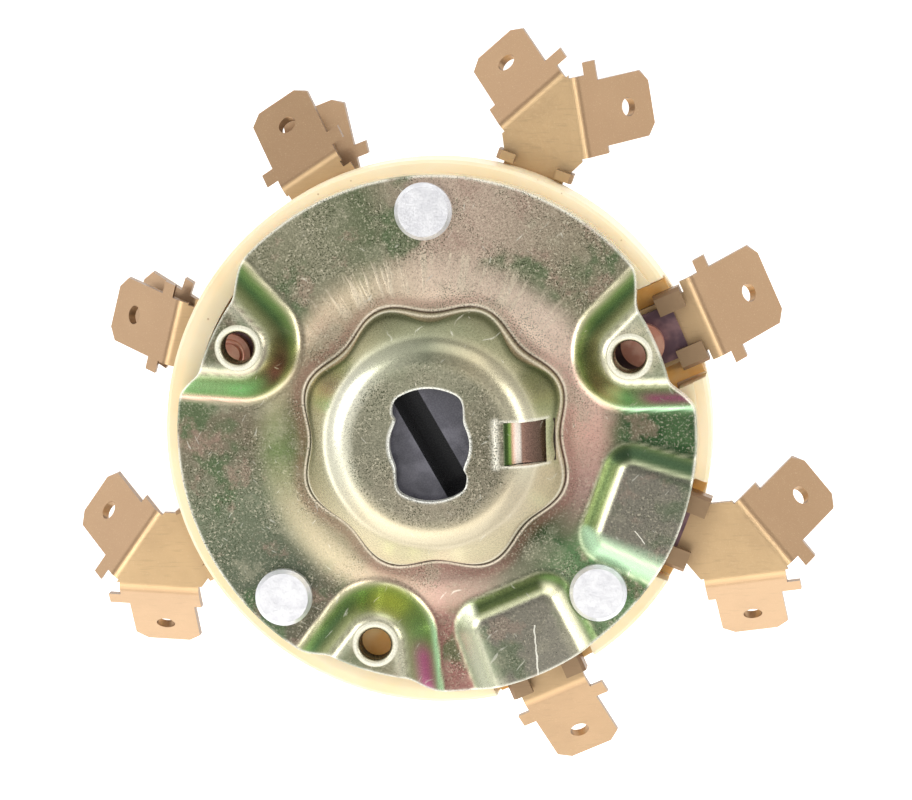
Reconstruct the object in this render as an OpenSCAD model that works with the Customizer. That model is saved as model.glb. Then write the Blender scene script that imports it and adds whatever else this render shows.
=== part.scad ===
// Rotary ignition switch with seven terminal positions round its edge.
// Origin: centre of the rear face. +Z points out of the keyhole, +Y is the top of the keyhole.

/* [Cover plate] */
// Diameter of the round cover plate
plate_d = 49; // [48:0.5:50]
// Thickness of the pressed steel sheet
sheet_t = 1; // [0.8:0.1:1.1]
// Diameter at which the flat ring of the plate ends and the dish begins
dish_d = 34.8; // [33:0.2:36]
// Rise of the dish from the flat ring to the foot of the cup
dish_rise = 0.5; // [0.3:0.1:0.7]

/* [Detent cup] */
// Height of the cup above the flat ring
cup_h = 6; // [5.8:0.1:6.6]
// Radius to the crest of a detent lobe
lobe_r = 12.9; // [12.7:0.1:13.1]
// Radius to the hollow between two lobes
waist_r = 11.7; // [11.5:0.1:11.9]
// Radius of the flat top of the cup
crown_r = 7.7; // [7.4:0.1:8]
// Rounding between the flat top and the cone
shoulder_r = 3; // [2.5:0.1:3.2]
// Lean of the cone from the axis, in degrees
cone_lean = 35; // [33:1:37]

/* [Keyhole] */
// Width of the upright slot
key_w = 6.6; // [6:0.1:7]
// Length of the upright slot, over its rounded ends
key_l = 10.9; // [10:0.1:11.4]
// Diameter of the round middle
key_round_d = 7.7; // [7.4:0.1:8.2]
// Height of the small side notches above the middle
key_notch_y = 2.3; // [2.1:0.1:2.5]

/* [Lanced bridge] */
// Distance from the axis to the inner end of the bridge
bridge_in_r = 6.9; // [6.7:0.1:7.1]
// Distance from the axis to the outer end of the bridge
bridge_out_r = 11.1; // [10.9:0.1:11.2]
// Width of the bridge
bridge_w = 4.05; // [3.6:0.05:4.4]
// Depth of the bridge's crease below the top of the cup
bridge_drop = 1.8; // [1.5:0.1:1.9]

/* [Screw pads] */
// Distance from the axis to each screw hole
screw_r = 20.1; // [19.8:0.1:20.4]
// Diameter of the tapped screw holes
screw_d = 2.92; // [2.6:0.02:3.2]
// Height of the screw pads above the flat ring
pad_h = 3.3; // [3:0.1:3.6]
// Radius round the screw hole at the foot of a pad
pad_foot_r = 5.4; // [5.1:0.1:5.6]
// Radius round the screw hole at the top of a pad
pad_top_r = 2.6; // [2.5:0.1:2.8]
// Half of the angle at which the sides of a pad spread, in degrees
pad_spread = 22; // [20:1:23]
// How far the rim is drawn in at the top of a screw pad
rim_draw = 1.75; // [1.4:0.05:2]
// Length of the collar drawn down round each screw hole
collar_h = 1.2; // [0.8:0.1:1.5]

/* [Low pads] */
// Height of the low pads above the flat ring
low_h = 1.2; // [0.9:0.1:1.4]
// Half of a low pad's width at its foot
low_foot_w = 6; // [5.8:0.1:6.2]
// Half of a low pad's width at its top
low_top_w = 3.9; // [3.6:0.1:4.2]
// Distance from the axis to the inner foot of a low pad
low_in_r = 15.6; // [15.2:0.1:16]

/* [Cover rivets] */
// Distance from the axis to each cover rivet
rivet_r = 21.2; // [21:0.1:21.4]
// Diameter of a rivet head
rivet_head_d = 5.4; // [5:0.1:5.6]
// Height of a rivet head
rivet_head_h = 1; // [0.8:0.1:1.2]
// Diameter of a rivet shank
rivet_d = 3.2; // [2.8:0.1:3.4]

/* [Base] */
// Width of the rim that shows outside the cover plate
ledge_w = 1.3; // [1:0.1:1.8]
// Drop from the seat of the cover plate to that rim
ledge_drop = 0.6; // [0.3:0.1:1]
// Overhang of the flange beyond the rear housing
flange_w = 7.2; // [7:0.1:7.6]
// Height of the rear housing, up to the back of the flange
rear_h = 10.6; // [10.2:0.1:11.2]
// Wall of the rear housing
wall = 2.2; // [2:0.1:2.4]
// Floor of the rear housing
floor_t = 2.2; // [2:0.1:2.4]
// Thickness of the flange deck
deck_t = 2.2; // [1.8:0.1:2.6]
// Height from the deck to the seat of the cover plate
seat_h = 3.7; // [3.6:0.1:4.2]
// Width of the wall that carries the cover plate
rim_w = 2.6; // [2.3:0.1:2.8]
// Thickness of the insulating plate on the deck
insulator_t = 0.8; // [0.6:0.1:0.9]

/* [Terminals] */
// Thickness of the terminal sheet
blade_t = 0.8; // [0.7:0.05:0.85]
// Width of a standard blade
blade_w = 6.3; // [6:0.1:6.5]
// Width of the supply blade
wide_w = 8; // [7.6:0.1:8.2]
// Length of a blade past its fold
blade_l = 9.3; // [8.8:0.1:9.6]
// Angle at which the blades are folded back, in degrees
fold_angle = 51; // [46:1:54]
// Distance from the axis to the fold of a single blade
fold_r = 26.9; // [26.6:0.1:27.4]
// Distance from the fold of a single blade out to the point where two splayed blades meet
crotch_l = 8.5; // [8:0.1:9]
// Angle between a splayed blade and its neck, in degrees
splay = 61; // [59:1:62]
// Width of a splayed blade at its fold
splay_root_w = 8.3; // [7.9:0.1:8.4]
// Width of a neck
neck_w = 5.9; // [5.6:0.1:6.1]
// Diameter of the hole in a blade
eye_d = 1.8; // [1.5:0.1:2.1]
// Distance from that hole's centre to the tip of the blade
eye_in = 3.3; // [3:0.1:3.6]

/* [Contacts] */
// Distance from the rear housing out to each terminal rivet
stem_gap = 2.5; // [2.4:0.05:2.6]
// Diameter of a terminal rivet's head
stem_head_d = 4.15; // [3.9:0.05:4.3]
// Height of a terminal rivet's head
stem_head_h = 1; // [0.7:0.1:1.1]
// Diameter of a terminal rivet's shank
stem_d = 2.4; // [2:0.1:2.6]
// Thickness of the contact strips
strip_t = 0.6; // [0.5:0.05:0.65]
// Width of the contact strips
strip_w = 5; // [4.6:0.1:5.2]
// Distance from the axis to each contact stud
stud_r = 11.3; // [11:0.1:11.6]
// Diameter of a contact stud
stud_d = 3; // [2.6:0.1:3.2]
// Height of a contact stud above its strip
stud_h = 1; // [0.8:0.1:1.2]
// Thickness of the contact bridge
contact_t = 0.8; // [0.7:0.05:0.9]

/* [Rotor] */
// Diameter of the detent balls
ball_d = 4; // [3.8:0.05:4.05]
// Radius of the rotor's head
head_r = 9.2; // [9:0.1:9.3]
// Radius of the key socket that stands on the head
socket_r = 6.2; // [6:0.1:6.3]
// Width of the key slot
slot_w = 2.6; // [2.2:0.1:2.8]
// Depth of the key slot
slot_depth = 5; // [3:0.5:6]
// Direction of the key slot at rest, in degrees from +X
slot_angle = 118.5; // [110:0.5:125]
// Radius of the rotor's stem
stem_round_r = 4.6; // [4.3:0.1:5]
// Radius of the pivot at the rotor's lower end
pivot_r = 2; // [1.8:0.1:2.2]
// Air between the contact carrier and the contact strips
carrier_air = 1.15; // [0.9:0.05:1.4]
// Thickness of the contact carrier
carrier_t = 2.8; // [2.6:0.1:3]

/* [Hidden] */
$fn = 96;
tiny = 0.01;

// Angles of the parts that repeat round the axis
step = 45;
first_angle = 22.5;
screw_angles = [22.5, 153.5, 253];
low_pad_angles = [292.5, 339.2];
rivet_angles = [91.5, 225.8, 315];
upper_terminals = [22.5, 292.5, 337.5];
open_terminals = [69, 205];
stacked_terminals = [114.5, 159];
lower_terminals = concat(open_terminals, stacked_terminals);

// Heights of the stack, from the rear face up
deck_z = rear_h + deck_t;
insulator_z = deck_z + insulator_t;
seat_z = deck_z + seat_h;
plate_z = seat_z + sheet_t;
cup_z = plate_z + cup_h;
upper_strip_z = insulator_z + blade_t;
plate_r = plate_d / 2;
base_r = plate_r + ledge_w;
recess_r = base_r - rim_w;
rear_r = base_r - flange_w;
well_r = rear_r - wall;
stem_r = rear_r + stem_gap;

// Clearances
running = 0.05;
loose = 0.1;
gap = 0.3;

// Points of an arc from one angle to another
function arc(c, r, a0, a1, n) =
    [for (i = [0 : n]) let (a = a0 + (a1 - a0) * i / n) c + r * [cos(a), sin(a)]];

// Copies of the children at given angles about the axis
module round_axis(angles) {
    for (a = angles) rotate(a) children();
}

// Solid between a list of rings, each a closed loop of as many points
module skin(rings) {
    n = len(rings[0]);
    last = len(rings) - 1;
    sides = [for (k = [0 : last - 1]) for (i = [0 : n - 1])
        let (j = (i + 1) % n) [k * n + i, (k + 1) * n + i, (k + 1) * n + j, k * n + j]];
    foot = [for (i = [0 : n - 1]) i];
    top = [for (i = [n - 1 : -1 : 0]) last * n + i];
    polyhedron([for (ring = rings) each ring], concat([foot], sides, [top]));
}

// Pressed pads of the cover plate

// Loop round two corner circles of radius c, with sides that spread outwards, at height z
function pad_loop(x, y, c, spread, z) =
    let (n = 6, far = plate_r + 3,
         upper = arc([x, y], c, 90 + spread, 180, n),
         lower = arc([x, -y], c, 180, 270 - spread, n),
         reach = (far - upper[0].x) * tan(spread))
    [for (p = concat([[far, upper[0].y + reach]], upper, y > 0 ? lower : [for (i = [1 : n]) lower[i]],
                     [[far, -upper[0].y - reach]])) [p.x, p.y, z]];

// Share of the way up against share of the slope that is left, from foot to top
slope_profile = [[1.14, -0.03], [1.02, 0.04], [0.9, 0.16], [0.12, 0.86], [0, 0.97], [-0.1, 1]];

// Pad whose corner circles shrink from foot_c to top_c over height h
module pad(x, y, foot_c, top_c, spread, h, inside) {
    slope = foot_c - top_c;
    lean = atan2(h, slope);
    shrink = inside ? sheet_t * tan(lean / 2) : 0;
    drop = inside ? sheet_t : 0;
    foot_z = inside ? seat_z - sheet_t : seat_z + sheet_t / 4;
    loops = [for (p = slope_profile)
        pad_loop(x, y, max(0.1, top_c + slope * p[0] - shrink), spread, plate_z + h * p[1] - drop)];
    foot = [for (p = loops[0]) [p.x, p.y, foot_z]];
    skin(concat([foot], loops));
}

module screw_pad(inside) {
    pad(screw_r, 0, pad_foot_r, pad_top_r, pad_spread, pad_h, inside);
}

module low_pad(inside) {
    corner = 3;
    top_corner = corner - (low_foot_w - low_top_w);
    pad(low_in_r + corner, low_foot_w - corner, corner, top_corner, 4, low_h, inside);
}

// Detent cup of the cover plate

// Radius of the cup's wall at an angle, waved by the lobes
function wave(a, inset) =
    (lobe_r + waist_r) / 2 - inset + (lobe_r - waist_r) / 2 * cos((a - first_angle) * 360 / step);

module cup_outline(inset) {
    points = 12 * 360 / step;
    polygon([for (i = [0 : points - 1]) let (a = 360 * i / points) wave(a, inset) * [cos(a), sin(a)]]);
}

// Solid of the cup, or of the space in it when inset is the sheet thickness
module cup_solid(inset, foot_z) {
    shoulder = arc([crown_r, cup_z - shoulder_r], shoulder_r - inset, 90, cone_lean, 7);
    edge = shoulder[7];
    foot_x = edge.x + (edge.y - foot_z) * tan(cone_lean);
    intersection() {
        translate([0, 0, foot_z]) linear_extrude(cup_h + 2) cup_outline(inset);
        rotate_extrude() polygon(concat([[0, cup_z - inset]], shoulder, [[foot_x, foot_z], [0, foot_z]]));
    }
}

module keyhole() {
    notch_r = 0.4;
    half_w = key_w / 2;
    translate([0, 0, cup_z - sheet_t - tiny]) linear_extrude(sheet_t + 2 * tiny) {
        intersection() {
            circle(key_l / 2);
            square([key_w, key_l], center = true);
        }
        circle(d = key_round_d);
        for (a = [0, 180]) rotate(a) translate([-half_w, key_notch_y]) circle(notch_r);
    }
}

// Side view of the bridge, outer face first, with x as the distance from the axis
function bridge_profile() =
    let (t = sheet_t, crease = [bridge_in_r + 1.6, cup_z - bridge_drop],
         out = [bridge_out_r + 0.5, cup_z - 3.5],
         start = [bridge_in_r - 0.35, cup_z])
    [start, [bridge_in_r + 0.15, cup_z - 0.3], crease, out,
     out - [0.35, 0.95] * t, crease - [0.5, 0.9] * t, [bridge_in_r - 0.35, cup_z - t]];

module bridge_tab(w) {
    rotate([90, 0, 0]) linear_extrude(w, center = true) polygon(bridge_profile());
}

module bridge_window() {
    depth = 3.6;
    translate([bridge_in_r, -bridge_w / 2, cup_z - depth])
        cube([bridge_out_r - bridge_in_r, bridge_w, depth + tiny]);
}

// Flat ring and dish of the plate before the pads are pressed in it
module plate_sheet() {
    dish_r = dish_d / 2;
    inner_r = lobe_r + 0.6;
    blank_r = plate_r + 1;
    rotate_extrude() polygon([
        [0, seat_z + dish_rise], [inner_r, seat_z + dish_rise], [dish_r, seat_z],
        [blank_r, seat_z], [blank_r, plate_z], [dish_r, plate_z],
        [inner_r, plate_z + dish_rise], [0, plate_z + dish_rise]
    ]);
}

// Everything inside the sheared rim, which is drawn in where a pad lifts it
module rim_trim() {
    rotate_extrude() polygon([
        [0, seat_z - 2 * sheet_t], [plate_r, seat_z - 2 * sheet_t], [plate_r, plate_z + 0.1],
        [plate_r - rim_draw / 12, plate_z + low_h], [plate_r - rim_draw, plate_z + pad_h],
        [plate_r - rim_draw, cup_z + sheet_t], [0, cup_z + sheet_t]
    ]);
}

module pressed_sheet() {
    difference() {
        union() {
            plate_sheet();
            cup_solid(0, seat_z + dish_rise + tiny);
            round_axis(screw_angles) screw_pad(false);
            round_axis(low_pad_angles) low_pad(false);
        }
        cup_solid(sheet_t, seat_z - sheet_t);
        round_axis(screw_angles) screw_pad(true);
        round_axis(low_pad_angles) low_pad(true);
    }
}

module cover_plate() {
    top_z = plate_z + pad_h;
    collar_z = top_z - sheet_t - collar_h;
    entry = 0.35;
    color([0.62, 0.6, 0.42]) difference() {
        union() {
            intersection() {
                difference() {
                    pressed_sheet();
                    bridge_window();
                }
                rim_trim();
            }
            bridge_tab(bridge_w - loose);
            round_axis(screw_angles) translate([screw_r, 0, collar_z])
                cylinder(h = collar_h + sheet_t / 2, r = screw_d / 2 + 0.8);
        }
        keyhole();
        round_axis(screw_angles) translate([screw_r, 0, 0]) {
            translate([0, 0, collar_z - tiny]) cylinder(h = collar_h + 2 * sheet_t, d = screw_d);
            translate([0, 0, top_z - entry])
                cylinder(h = entry + tiny, d1 = screw_d, d2 = screw_d + 2 * entry);
        }
        round_axis(rivet_angles) translate([rivet_r, 0, 0]) {
            translate([0, 0, seat_z - sheet_t]) cylinder(h = 3 * sheet_t, d = rivet_d + 2 * running);
            translate([0, 0, plate_z + 2 * tiny]) cylinder(h = 2 * sheet_t, d = rivet_head_d + 2 * running);
        }
    }
}

// Moulded base

rivet_boss_r = rivet_d / 2 + 1.6;
notch_w = neck_w + 4.2;
boss_z = floor_t + 1.2;
pivot_foot = 1;

module base_body() {
    chamfer = 0.6;
    rotate_extrude() polygon([
        [0, 0], [rear_r - chamfer, 0], [rear_r, chamfer], [rear_r, rear_h],
        [base_r - chamfer, rear_h], [base_r, rear_h + chamfer],
        [base_r, seat_z - ledge_drop - chamfer / 2], [base_r - chamfer / 2, seat_z - ledge_drop],
        [plate_r + loose, seat_z - ledge_drop], [plate_r + loose, seat_z],
        [recess_r, seat_z], [recess_r, deck_z], [well_r, deck_z], [well_r, floor_t], [0, floor_t]
    ]);
}

module base() {
    color([0.97, 0.9, 0.76]) difference() {
        union() {
            base_body();
            translate([0, 0, floor_t - tiny]) cylinder(h = boss_z - floor_t + tiny, r = pivot_r + 2);
            intersection() {
                round_axis(rivet_angles) translate([rivet_r, 0, deck_z - tiny])
                    cylinder(h = seat_h + tiny, r = rivet_boss_r);
                cylinder(h = seat_z, r = recess_r + tiny);
            }
        }
        translate([0, 0, pivot_foot]) cylinder(h = boss_z, r = pivot_r + running);
        round_axis(upper_terminals) translate([recess_r - 1, -notch_w / 2, deck_z])
            cube([rim_w + 2, notch_w, seat_h + 1]);
        round_axis(rivet_angles) translate([rivet_r, 0, 0])
            cylinder(h = seat_z + 1, d = rivet_d + 2 * running);
        round_axis(concat(upper_terminals, lower_terminals)) translate([stem_r, 0, rear_h - tiny])
            cylinder(h = deck_t + 2 * tiny, d = stem_d + 2 * running);
        round_axis(concat(upper_terminals, lower_terminals)) translate([stud_r, 0, stud_foot_z])
            cylinder(h = floor_t, d = stud_pin_d + 2 * running);
    }
}

module insulator_plate() {
    edge_r = recess_r - gap;
    tongue_r = base_r - 0.5;
    tongue_w = notch_w - 0.6;
    color([0.88, 0.52, 0.18]) translate([0, 0, deck_z]) linear_extrude(insulator_t) difference() {
        union() {
            circle(edge_r);
            round_axis(upper_terminals) translate([edge_r - 2, -tongue_w / 2])
                square([tongue_r - edge_r + 2, tongue_w]);
        }
        circle(well_r + 0.2);
        round_axis(rivet_angles) translate([rivet_r, 0]) circle(rivet_boss_r + gap);
        round_axis(concat(upper_terminals, lower_terminals)) translate([stem_r, 0])
            circle(d = stem_d + 2 * running);
    }
}

// Rivets

module cover_rivets() {
    tail_h = 1;
    crown = 0.35;
    color([0.93, 0.93, 0.95]) round_axis(rivet_angles) translate([rivet_r, 0, 0]) {
        translate([0, 0, plate_z]) cylinder(h = rivet_head_h - crown, d = rivet_head_d);
        translate([0, 0, plate_z + rivet_head_h - crown])
            cylinder(h = crown, d1 = rivet_head_d, d2 = rivet_head_d - 2 * crown);
        translate([0, 0, rear_h - tail_h]) cylinder(h = tail_h, d = rivet_d + 1.4);
        translate([0, 0, rear_h - tiny]) cylinder(h = plate_z - rear_h + 2 * tiny, d = rivet_d);
    }
}

// Terminal rivet with its head at top_z and its tail at tail_z
module stem(top_z, tail_z, rolled) {
    tail_h = 0.7;
    head_d = min(stem_head_d, 2 * (recess_r - stem_r - running));
    color([0.74, 0.42, 0.34]) translate([stem_r, 0, 0]) difference() {
        union() {
            translate([0, 0, top_z]) cylinder(h = stem_head_h, d = head_d);
            translate([0, 0, tail_z - tiny]) cylinder(h = top_z - tail_z + 2 * tiny, d = stem_d);
            translate([0, 0, tail_z - tail_h]) cylinder(h = tail_h, d = stem_d + 1.2);
        }
        if (rolled) translate([0, 0, top_z + stem_head_h]) rotate_extrude()
            translate([head_d / 2 - 0.75, 0]) circle(0.25);
    }
}

module terminal_rivets() {
    lower_top = insulator_z + strip_t;
    round_axis(upper_terminals) stem(upper_strip_z + strip_t, rear_h, false);
    round_axis(open_terminals) stem(lower_top, rear_h - blade_t, true);
    round_axis(stacked_terminals) stem(lower_top, rear_h - 2 * blade_t, true);
}

// Terminals, each drawn along +X

fold_in_r = 0.5;
shoulder_l = 2.3;
ear_l = 1.7;
ear_w = 1.2;
nib_l = 1;
neck_end_r = min(neck_w / 2, stem_gap - running);
crotch_r = fold_r + crotch_l;

// Plan of a folded blade, seen along the axis, with the start of the fold at x = 0
module blade_plan(w, root_w, ears, length, angle) {
    chamfer = 1.1;
    past = 0.5;
    k = cos(angle);
    root_x = (fold_in_r + blade_t) * sin(angle);
    tip_x = root_x + length * k;
    corner_y = w / 2 - chamfer - past;
    translate([-blade_t / 2, -root_w / 2]) square([blade_t / 2 + root_x + shoulder_l * k, root_w]);
    polygon([
        [0, -w / 2], [tip_x - chamfer * k, -w / 2], [tip_x + past * k, -corner_y],
        [tip_x + past * k, corner_y], [tip_x - chamfer * k, w / 2], [0, w / 2]
    ]);
    for (s = ears) translate([root_x + (shoulder_l - ear_l) * k, s > 0 ? 0 : -root_w / 2 - ear_w])
        square([ear_l * k, root_w / 2 + ear_w]);
}

// Side view of a sheet that runs along x, folds down and runs on; its upper face starts at y = 0
function fold_profile(angle, length, lead) =
    let (n = 8, in_r = fold_in_r, out_r = fold_in_r + blade_t, c = [0, -out_r],
         run = length * [cos(angle), -sin(angle)],
         outer = arc(c, out_r, 90, 90 - angle, n), inner = arc(c, in_r, 90 - angle, 90, n))
    concat([[-lead, 0]], outer, [outer[n] + run, inner[0] + run], inner, [[-lead, -blade_t]]);

// Sheet that runs along x, folds down at x = 0 and ends in a blade; children are the plan of its neck
module folded_blade(w, root_w, ears, length, angle, lead) {
    out_r = fold_in_r + blade_t;
    deep = out_r + length + 1;
    difference() {
        intersection() {
            rotate([90, 0, 0]) linear_extrude(2 * deep, center = true)
                polygon(fold_profile(angle, length, lead));
            translate([0, 0, -deep]) linear_extrude(deep + 1) {
                blade_plan(w, root_w, ears, length, angle);
                children();
            }
        }
        translate([out_r * sin(angle), 0, out_r * (cos(angle) - 1)]) rotate([0, angle, 0])
            translate([length - eye_in, 0, -2 * blade_t]) cylinder(h = 3 * blade_t, d = eye_d);
    }
}

// Terminal with one blade, from its rivet to its tip, with its upper face at z = 0 before the fold
module single_terminal(w, length, angle, fold_x = fold_r, nib_w = 0) {
    reach = fold_x - stem_r;
    difference() {
        translate([fold_x, 0, 0]) folded_blade(w, w, [1, -1], length, angle, reach + neck_w) {
            translate([-reach, -neck_w / 2]) square([reach, neck_w]);
            translate([-reach, 0]) circle(neck_end_r);
            if (nib_w > 0) translate([-2 * nib_l, -neck_w / 2 - nib_w]) square([nib_l, neck_w + 2 * nib_w]);
        }
        stem_hole();
    }
}

// Turns the children about the terminal's rivet
module about_rivet(turn) {
    translate([stem_r, 0, 0]) rotate(turn) translate([-stem_r, 0, 0]) children();
}

module stem_hole() {
    translate([stem_r, 0, -2 * blade_t]) cylinder(h = 3 * blade_t, d = stem_d + 2 * running);
}

// Two lugs bent up beside the neck; each folds over by reach at height h
module claws(x, length, h, reach) {
    for (side = [0, 1]) mirror([0, side, 0]) rotate([90, 0, 90]) translate([0, 0, x])
        linear_extrude(length) polygon([
            [neck_w / 2 - gap, -blade_t], [neck_w / 2 + blade_t, -blade_t],
            [neck_w / 2 + blade_t, h + blade_t * 0.6], [neck_w / 2 + blade_t * 0.6, h + blade_t],
            [neck_w / 2 - reach, h + blade_t], [neck_w / 2 - reach, h], [neck_w / 2 + loose, h],
            [neck_w / 2 + loose, 0], [neck_w / 2 - gap, 0]
        ]);
}

// Neck that widens to two fold lines which meet at the crotch
module splayed_terminal() {
    back = [crotch_r - splay_root_w * sin(splay), splay_root_w * cos(splay)];
    neck_l = fold_r - blade_t;
    difference() {
        translate([0, 0, -blade_t]) linear_extrude(blade_t) {
            translate([stem_r, 0]) circle(neck_end_r);
            polygon([
                [stem_r, -neck_w / 2], [neck_l, -neck_w / 2], [back.x, -back.y], [crotch_r, 0],
                [back.x, back.y], [neck_l, neck_w / 2], [stem_r, neck_w / 2]
            ]);
        }
        stem_hole();
    }
    for (side = [0, 1]) mirror([0, side, 0])
        translate([(back.x + crotch_r) / 2, back.y / 2, 0]) rotate(splay)
            folded_blade(blade_w, splay_root_w - 2 * gap, [-1], blade_l, fold_angle, blade_t / 2);
}

brass = [0.77, 0.63, 0.46];
claw_l = 2.6;
claw_reach = 1.2;
lower_claw_l = 0.9;
rear_steeper = 5;
slack_angle = 41;
upper_claw_x = base_r - 2.1;
lower_claw_x = base_r + 0.15;

module upper_single(w, angle) {
    translate([0, 0, upper_strip_z]) {
        single_terminal(w, blade_l, angle);
        claws(upper_claw_x, claw_l, strip_t, claw_reach);
    }
}

// Single blade under the flange, turned about its rivet
module lower_single(turn, angle) {
    about_rivet(turn) translate([0, 0, rear_h]) single_terminal(blade_w, blade_l, angle, nib_w = 0.8);
}

// Second blade under a single one, folded more steeply and nearer to the rivet by inset
module rear_blade(turn, inset, angle) {
    about_rivet(turn) translate([0, 0, rear_h - blade_t])
        single_terminal(blade_w, blade_l, angle + rear_steeper, fold_r - inset);
}

module lower_claws() {
    translate([0, 0, rear_h]) claws(lower_claw_x, lower_claw_l, strip_t, lower_claw_l);
}

module terminal_1() {
    color(brass) rotate(22.5) upper_single(wide_w, fold_angle);
}

module terminal_2() {
    color(brass) rotate(open_terminals[0]) {
        translate([0, 0, rear_h]) splayed_terminal();
        lower_claws();
    }
}

module terminal_3() {
    color(brass) rotate(stacked_terminals[0]) lower_single(8, 43);
}

module terminal_3_rear() {
    color(brass) rotate(stacked_terminals[0]) rear_blade(-4, 1.6, 43);
}

module terminal_4() {
    color(brass) rotate(stacked_terminals[1]) lower_single(6, 46);
}

module terminal_4_rear() {
    color(brass) rotate(stacked_terminals[1]) rear_blade(1, 1.2, 46);
}

module terminal_5() {
    color(brass) rotate(open_terminals[1]) {
        translate([0, 0, rear_h]) splayed_terminal();
        lower_claws();
    }
}

module terminal_6() {
    color(brass) rotate(292.5) upper_single(blade_w, slack_angle);
}

module terminal_7() {
    color(brass) rotate(337.5) translate([0, 0, upper_strip_z]) {
        splayed_terminal();
        claws(upper_claw_x, claw_l, strip_t, claw_reach);
    }
}

// Contact strips and studs

stud_pin_d = 1.6;
stud_foot_z = floor_t - 1.2;
strip_leg_r = well_r - 0.35;
carrier_r = strip_leg_r - strip_t - carrier_air;

// Strip that runs in from the terminal, down the wall of the well and along its floor
module contact_strip(angle, seat, out_r) {
    foot_r = stud_r - stud_d / 2 - 0.8;
    color([0.5, 0.33, 0.3]) rotate(angle) difference() {
        rotate([90, 0, 0]) linear_extrude(strip_w, center = true) polygon([
            [out_r, seat], [out_r, seat + strip_t], [strip_leg_r - strip_t, seat + strip_t],
            [strip_leg_r - strip_t, floor_t + strip_t], [foot_r, floor_t + strip_t],
            [foot_r, floor_t], [strip_leg_r, floor_t], [strip_leg_r, seat]
        ]);
        translate([stem_r, 0, seat - tiny]) cylinder(h = 1, d = stem_d + 2 * running);
        translate([stud_r, 0, floor_t - tiny]) cylinder(h = 1, d = stud_pin_d + 2 * running);
    }
}

module upper_strip(angle) {
    contact_strip(angle, upper_strip_z, base_r - 0.9);
}

module lower_strip(angle) {
    contact_strip(angle, insulator_z, recess_r - 2 * gap);
}

module contact_studs() {
    dome = 0.3;
    color([0.8, 0.5, 0.38]) round_axis(concat(upper_terminals, lower_terminals))
        translate([stud_r, 0, 0]) {
            translate([0, 0, stud_foot_z + tiny])
                cylinder(h = floor_t - stud_foot_z + strip_t, d = stud_pin_d);
            translate([0, 0, floor_t + strip_t]) cylinder(h = stud_h - dome, d = stud_d);
            translate([0, 0, floor_t + strip_t + stud_h - dome])
                cylinder(h = dome, d1 = stud_d, d2 = stud_d - 2 * dome);
        }
}

// Rotor and what turns with it

ball_r = ball_d / 2;
ball_z = plate_z - 0.25;
ball_in_r = waist_r - sheet_t - ball_r - 0.15;
bore_end = 2.5;
head_low_z = ball_z - ball_r - 0.7;
head_top_z = ball_z + ball_r + 0.75;
key_room = 1.3;
socket_z = cup_z - sheet_t - key_room;
contact_z = floor_t + strip_t + stud_h + loose;
spring_room = 3.4;
spring_top_z = contact_z + contact_t + spring_room;
carrier_low_z = spring_top_z - 1.5;
carrier_top_z = carrier_low_z + carrier_t;
drive_w = 6;
head_edge = 0.5;
slot_wall = 0.8;
pivot_gap = 0.2;
ball_angle = first_angle;

module rotor() {
    color([0.1, 0.1, 0.12]) difference() {
        union() {
            translate([0, 0, pivot_foot + pivot_gap])
                cylinder(h = spring_top_z - pivot_foot - pivot_gap + tiny, r = pivot_r);
            translate([-drive_w / 2, -drive_w / 2, spring_top_z])
                cube([drive_w, drive_w, head_low_z - spring_top_z + tiny]);
            translate([0, 0, carrier_top_z + running])
                cylinder(h = head_low_z - carrier_top_z, r = stem_round_r);
            translate([0, 0, head_low_z]) cylinder(h = head_top_z - head_low_z - head_edge, r = head_r);
            translate([0, 0, head_top_z - head_edge])
                cylinder(h = head_edge, r1 = head_r, r2 = head_r - head_edge);
            translate([0, 0, head_top_z - tiny])
                cylinder(h = socket_z - head_top_z + tiny, r = socket_r);
        }
        rotate(slot_angle) translate([slot_wall - socket_r, -slot_w / 2, socket_z - slot_depth])
            cube([2 * (socket_r - slot_wall), slot_w, slot_depth + 1]);
        for (side = [0, 180]) rotate(ball_angle + side) translate([bore_end, 0, ball_z])
            rotate([0, 90, 0]) cylinder(h = head_r, r = ball_r + running);
    }
}

module contact_carrier() {
    peg_r = 1;
    color([0.36, 0.2, 0.12]) {
        difference() {
            translate([0, 0, carrier_low_z]) cylinder(h = carrier_t, r = carrier_r);
            translate([0, 0, carrier_low_z - tiny])
                cylinder(h = spring_top_z - carrier_low_z + tiny, r = stem_round_r);
            translate([-drive_w / 2 - running, -drive_w / 2 - running, carrier_low_z])
                cube([drive_w + 2 * running, drive_w + 2 * running, carrier_t + 1]);
        }
        for (a = peg_angles) rotate(a) translate([peg_place_r, 0, contact_z - loose / 2])
            cylinder(h = carrier_low_z - contact_z + 1, r = peg_r);
    }
}

arm_angles = [22.5, 112.5, 202.5];
peg_angles = [67.5, 247.5];
peg_place_r = 6.4;

module contact_bridge() {
    color([0.8, 0.48, 0.32]) translate([0, 0, contact_z]) linear_extrude(contact_t) difference() {
        union() {
            circle(peg_place_r + 2);
            round_axis(arm_angles) {
                translate([0, -2]) square([stud_r, 4]);
                translate([stud_r, 0]) circle(2);
            }
        }
        circle(pivot_r + 0.6);
        for (a = peg_angles) rotate(a) translate([peg_place_r, 0]) circle(1 + loose);
    }
}

// Coil spring round +Z from z = 0 to z = height
module coil(mean_r, wire_r, height, turns) {
    sides = 6;
    per_turn = 14;
    count = turns * per_turn;
    rise = (height - 2 * wire_r) / turns;
    rings = [for (i = [0 : count]) let (a = 360 * i / per_turn, z = wire_r + rise * i / per_turn)
        [for (k = [0 : sides - 1]) let (b = 360 * k / sides, r = mean_r + wire_r * cos(b))
            [r * cos(a), r * sin(a), z + wire_r * sin(b)]]];
    skin(rings);
}

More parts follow.
